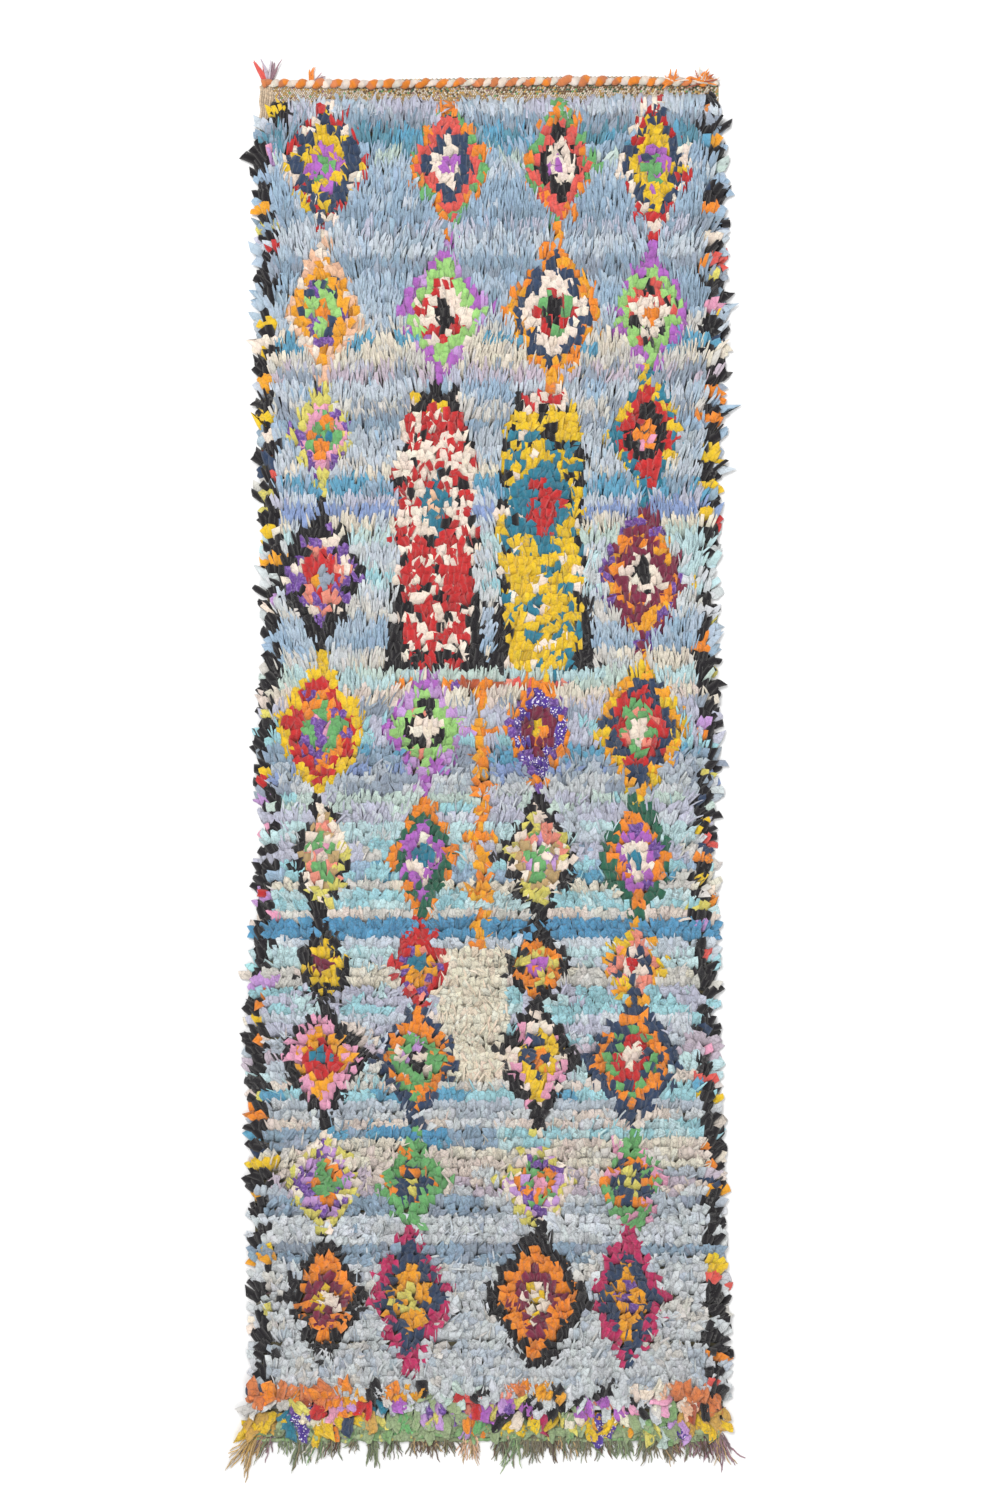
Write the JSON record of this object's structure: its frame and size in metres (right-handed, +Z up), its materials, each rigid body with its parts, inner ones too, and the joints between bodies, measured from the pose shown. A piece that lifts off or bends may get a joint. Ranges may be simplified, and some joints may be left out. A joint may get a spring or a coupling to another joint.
{
  "type": "boucherouite rug",
  "caption": "Long rag-pile rug lying flat, with a flat woven heading and twined cord at one end and a knotted warp fringe at the other.",
  "frame": {"origin": "on the floor, under the middle of the whole rug with its locks, tufts and fringe", "axes": "+X across the rug, +Y along it towards the heading, +Z up out of the floor"},
  "size_m": [1.0564, 2.976, 0.0469],
  "materials": {
    "rag_pile": "matte rag cloth, cut strips of many colours on pale blue",
    "flat_weave": "matte speckled flat weave",
    "twined_cord": "matte yarn, orange twined with cream",
    "rose_yarn": "matte yarn",
    "orange_yarn": "matte yarn",
    "warp_yarn": "matte yarn, brown and olive"
  },
  "bodies": {
    "root": {"shag_pile": "rag_pile", "heading_band": "flat_weave", "heading_cord": "twined_cord", "heading_tassel_left": "rose_yarn", "heading_stub": "orange_yarn", "heading_tassel_inner": "orange_yarn", "heading_tassel_right": "orange_yarn", "foot_fringe": "warp_yarn"}
  },
  "joints": []
}
